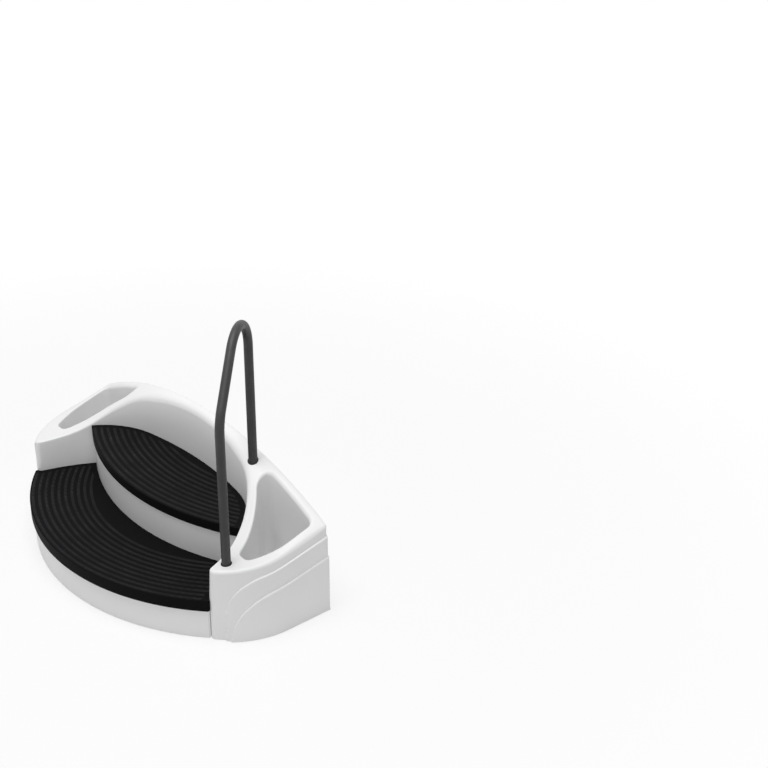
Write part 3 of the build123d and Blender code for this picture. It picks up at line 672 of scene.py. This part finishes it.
# ================================================================ treads
# Each tread is a plate of black polypropylene with a turned-down front band, moulded with round
# ridges along its front edge. Screws hold it from below, so its top shows no fixings.
for name in ("lower_tread", "upper_tread"):
    ridge_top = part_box(name)[1].z
    # Injection-moulded polypropylene with a spark-eroded grain: near black and dull in the
    # furrows. The ridge crests are slightly greyer and smoother in patches of some 90 mm: the grey
    # is partly wear where feet rub and partly a painted highlight along the crests. The grain is
    # really about 0.5 mm and is drawn at 4 mm so that it shows.
    polypropylene, tree, skin, place = new_material(
        "ridged_polypropylene_" + name, {"IOR": 1.49, "Specular IOR Level": 0.05})
    height = add_node(tree, "ShaderNodeSeparateXYZ", None, {"Vector": place}).outputs["Z"]
    # Painted highlight with wear: the ridge crests are coloured greyer, standing in for the light
    # they catch
    worn_and_lit_crests = add_node(tree, "ShaderNodeMapRange",
                      {"From Min": ridge_top - 0.0020, "From Max": ridge_top - 0.0010},
                      {"Value": height})
    grit = add_node(tree, "ShaderNodeTexNoise", {"Scale": 250.0, "Detail": 3.0, "Roughness": 0.7},
                    {"Vector": place})
    scuffs = add_node(tree, "ShaderNodeTexNoise", {"Scale": 11.0, "Detail": 4.0, "Roughness": 0.65},
                      {"Vector": place})
    share = add_node(tree, "ShaderNodeMath", {"operation": "MULTIPLY"},
                     {0: worn_and_lit_crests.outputs["Result"], 1: scuffs.outputs["Fac"]})
    base = add_node(tree, "ShaderNodeMixRGB",
                    {"Color1": colour("#080809"), "Color2": colour("#0e0e0f")},
                    {"Fac": grit.outputs["Fac"]})
    tone = add_node(tree, "ShaderNodeMixRGB", {"Color2": colour("#29292b")},
                    {"Fac": share.outputs["Value"], "Color1": base.outputs["Color"]})
    dull = add_node(tree, "ShaderNodeMapRange", {"To Min": 0.62, "To Max": 0.48},
                    {"Value": share.outputs["Value"]})
    grain = add_node(tree, "ShaderNodeBump", {"Strength": 0.25, "Distance": 0.0006},
                     {"Height": grit.outputs["Fac"]})
    join_skin(tree, skin, tone, dull, grain)
    finish_node(name, polypropylene)

# ================================================================ handrail and its end plugs
# One steel tube, 38 mm across, is bent into a hoop with two legs that drop into the sockets.
# Moulded plugs close its ends inside the sockets.

# Powder coat on steel: dark grey and satin, with a slight orange peel, really 1 mm and drawn at
# 4 mm, and slightly paler patches some 110 mm long, rubbed by hands.
powder_coat, tree, skin, place = new_material(
    "grey_powder_coat", {"IOR": 1.5, "Specular IOR Level": 0.4})
peel = add_node(tree, "ShaderNodeTexNoise", {"Scale": 250.0, "Detail": 2.0}, {"Vector": place})
rubs = add_node(tree, "ShaderNodeTexNoise", {"Scale": 9.0, "Detail": 5.0, "Roughness": 0.7},
                {"Vector": place})
patch = add_node(tree, "ShaderNodeMapRange", {"From Min": 0.45, "From Max": 0.75},
                 {"Value": rubs.outputs["Fac"]})
tone = add_node(tree, "ShaderNodeMixRGB",
                {"Color1": colour("#313132"), "Color2": colour("#3c3c3d")},
                {"Fac": patch.outputs["Result"]})
dull = add_node(tree, "ShaderNodeMapRange", {"To Min": 0.50, "To Max": 0.38},
                {"Value": patch.outputs["Result"]})
grain = add_node(tree, "ShaderNodeBump", {"Strength": 0.15, "Distance": 0.0004},
                 {"Height": peel.outputs["Fac"]})
join_skin(tree, skin, tone, dull, grain)
finish_node("handrail", powder_coat)

# Black ABS from a spark-eroded mould: an even, dull black with a fine grain of about 0.5 mm,
# drawn at 3 mm, and a faint milky bloom.
black_abs, tree, skin, place = new_material("black_moulded_abs", {"IOR": 1.54})
grit = add_node(tree, "ShaderNodeTexNoise", {"Scale": 330.0, "Detail": 3.0, "Roughness": 0.7},
                {"Vector": place})
tone = add_node(tree, "ShaderNodeMixRGB",
                {"Color1": colour("#18181a"), "Color2": colour("#242425")},
                {"Fac": grit.outputs["Fac"]})
dull = add_node(tree, "ShaderNodeMapRange", {"To Min": 0.42, "To Max": 0.56},
                {"Value": grit.outputs["Fac"]})
grain = add_node(tree, "ShaderNodeBump", {"Strength": 0.2, "Distance": 0.0003},
                 {"Height": grit.outputs["Fac"]})
join_skin(tree, skin, tone, dull, grain)
finish_node("handrail_end_plugs", black_abs)

# ================================================================ handrail sockets and grommets
# A black socket is pushed into each hole in the rim and holds a leg of the handrail. A soft
# rubber grommet covers its edge, follows the rim round it and keeps the tube from rattling.
for name in ("front_rail_socket", "back_rail_socket"):
    finish_node(name, black_abs)

# EPDM rubber: black and very dull with a dusty grey bloom in patches of some 15 mm, and a skin
# like fine leather, really 0.3 mm and drawn at 2 mm.
rubber, tree, skin, place = new_material(
    "black_epdm_rubber", {"IOR": 1.52, "Specular IOR Level": 0.3})
dust = add_node(tree, "ShaderNodeTexNoise", {"Scale": 65.0, "Detail": 4.0, "Roughness": 0.7},
                {"Vector": place})
pores = add_node(tree, "ShaderNodeTexNoise", {"Scale": 500.0, "Detail": 2.0}, {"Vector": place})
tone = add_node(tree, "ShaderNodeMixRGB",
                {"Color1": colour("#161617"), "Color2": colour("#272728")},
                {"Fac": dust.outputs["Fac"]})
dull = add_node(tree, "ShaderNodeMapRange", {"To Min": 0.68, "To Max": 0.88},
                {"Value": dust.outputs["Fac"]})
grain = add_node(tree, "ShaderNodeBump", {"Strength": 0.25, "Distance": 0.0003},
                 {"Height": pores.outputs["Fac"]})
join_skin(tree, skin, tone, dull, grain)

grommet_reach, grommet_bead = 0.0211, 0.0018
for name, (foot_x, foot_back) in zip(grommets, feet):
    middle = (foot_x, back_y - foot_back)
    bpy.ops.object.select_all(action="DESELECT")
    bpy.ops.mesh.primitive_torus_add(major_radius=grommet_reach, minor_radius=grommet_bead,
                                     major_segments=64, minor_segments=14,
                                     location=(*middle, 0))
    ring = bpy.context.object
    ring.name = name + "_ring"
    bpy.ops.object.transform_apply(location=True, rotation=True, scale=True)
    # The bead lies on the rim round the hole, so each part of it is set to the rim's height there
    spots = np.array([tuple(v.co) for v in ring.data.vertices])
    way = spots[:, :2] - np.array(middle)
    way /= np.hypot(*way.T)[:, None]
    under = np.column_stack([foot_x + grommet_reach * way[:, 0],
                             foot_back - grommet_reach * way[:, 1]])
    for vertex, level in zip(ring.data.vertices, top_height(under)):
        vertex.co.z += level
    bpy.ops.object.shade_smooth()
    ring.data.materials.append(rubber)
    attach(ring, "steps")
    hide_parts(name)

# ================================================================ feet and drain plugs
# Thirteen rubber feet are pushed by their stems into the undersides of the posts, and a rubber
# plug closes the drain hole in each pocket's floor.
for name in ("foot_pads", "right_pocket_drain_plug", "left_pocket_drain_plug"):
    finish_node(name, rubber)

# ================================================================ fasteners
# Pan-head screws hold the treads and the upper step from below, and six bolts with washers and
# nuts join the lower step to the surround's wall. All are steel with a zinc plating.

# Zinc plating: bright and slightly blue, with a spangle of about 4 mm in its tone, and fine turned
# marks, really 0.1 mm and drawn at 1 mm, that dull it in places and spread the highlight.
zinc, tree, skin, place = new_material("zinc_plated_steel", {"Metallic": 1.0})
spangle = add_node(tree, "ShaderNodeTexVoronoi", {"Scale": 250.0}, {"Vector": place})
turning = add_node(tree, "ShaderNodeTexNoise", {"Scale": 900.0, "Detail": 2.0}, {"Vector": place})
tone = add_node(tree, "ShaderNodeMixRGB",
                {"Color1": colour("#bfc2c6"), "Color2": colour("#d6d8da")},
                {"Fac": spangle.outputs["Distance"]})
dull = add_node(tree, "ShaderNodeMapRange", {"To Min": 0.26, "To Max": 0.42},
                {"Value": turning.outputs["Fac"]})
grain = add_node(tree, "ShaderNodeBump", {"Strength": 0.2, "Distance": 0.0002},
                 {"Height": turning.outputs["Fac"]})
join_skin(tree, skin, tone, dull, grain)
for name in ("lower_tread_screws", "upper_tread_screws", "upper_step_screws",
             "joining_bolts", "joining_washers", "joining_nuts"):
    finish_node(name, zinc)

# ================================================================ floor and light
# A plain white studio floor that runs to the edge of the view, an even white sky and one large
# soft lamp overhead, a little in front of the steps.
bpy.ops.object.select_all(action="DESELECT")
bpy.ops.mesh.primitive_plane_add(size=40, location=(0, 0, 0))
floor = bpy.context.object
floor.name = "floor"


def seen_share(tree):
    """1 for what the camera, reflections and clear things see, and 0 for light on the object."""
    path = add_node(tree, "ShaderNodeLightPath")
    seen = path.outputs["Is Camera Ray"]
    for ray in ("Is Glossy Ray", "Is Transmission Ray"):
        seen = add_node(tree, "ShaderNodeMath", {"operation": "MAXIMUM"},
                        {0: seen, 1: path.outputs[ray]}).outputs["Value"]
    return seen


# Matt white paint with roller marks some 15 mm wide. What the camera and reflections see of it is
# mostly a plain white, and wholly so some three metres away, so that the steps stand on a white
# ground and still leave a soft shadow.
paint, tree, skin, place = new_material(
    "white_floor_paint", {"Roughness": 0.9, "Specular IOR Level": 0.1})
roller = add_node(tree, "ShaderNodeTexNoise", {"Scale": 60.0, "Detail": 3.0}, {"Vector": place})
tone = add_node(tree, "ShaderNodeMixRGB",
                {"Color1": colour("#f3f3f3"), "Color2": colour("#f7f7f7")},
                {"Fac": roller.outputs["Fac"]})
tree.links.new(tone.outputs["Color"], skin.inputs["Base Color"])
plain_white = add_node(tree, "ShaderNodeEmission", {"Color": (1, 1, 1, 1), "Strength": 1.0})
away = add_node(tree, "ShaderNodeVectorMath", {"operation": "LENGTH"}, {0: place})
far = add_node(tree, "ShaderNodeMapRange",
               {"From Min": 1.1, "From Max": 3.2, "To Min": 0.75, "To Max": 1.0},
               {"Value": away.outputs["Value"]})
plain = add_node(tree, "ShaderNodeMath", {"operation": "MULTIPLY"},
                 {0: seen_share(tree), 1: far.outputs["Result"]})
blend = add_node(tree, "ShaderNodeMixShader", None,
                 {"Fac": plain.outputs["Value"], 1: skin.outputs["BSDF"],
                  2: plain_white.outputs["Emission"]})
tree.links.new(blend.outputs["Shader"], tree.nodes["Material Output"].inputs["Surface"])
floor.data.materials.append(paint)

# An even white sky, which lights the steps at less than the white that is seen of it
world = bpy.context.scene.world or bpy.data.worlds.new("studio")
bpy.context.scene.world = world
world.use_nodes = True
tree = world.node_tree
sky = tree.nodes["Background"]
sky.inputs["Color"].default_value = (1, 1, 1, 1)
strength = add_node(tree, "ShaderNodeMapRange", {"To Min": 0.42, "To Max": 1.0},
                    {"Value": seen_share(tree)})
tree.links.new(strength.outputs["Result"], sky.inputs["Strength"])

lamp_aim = Vector((0, 0, 0.3))        # middle of the steps
bpy.ops.object.light_add(type="AREA", location=(0.5, -0.5, 5.0))
softbox = bpy.context.object
softbox.name = "softbox"
softbox.rotation_euler = (lamp_aim - softbox.location).to_track_quat("-Z", "Y").to_euler()
softbox.data.size = 3.0
softbox.data.energy = 160
bpy.context.scene.view_settings.view_transform = "Standard"
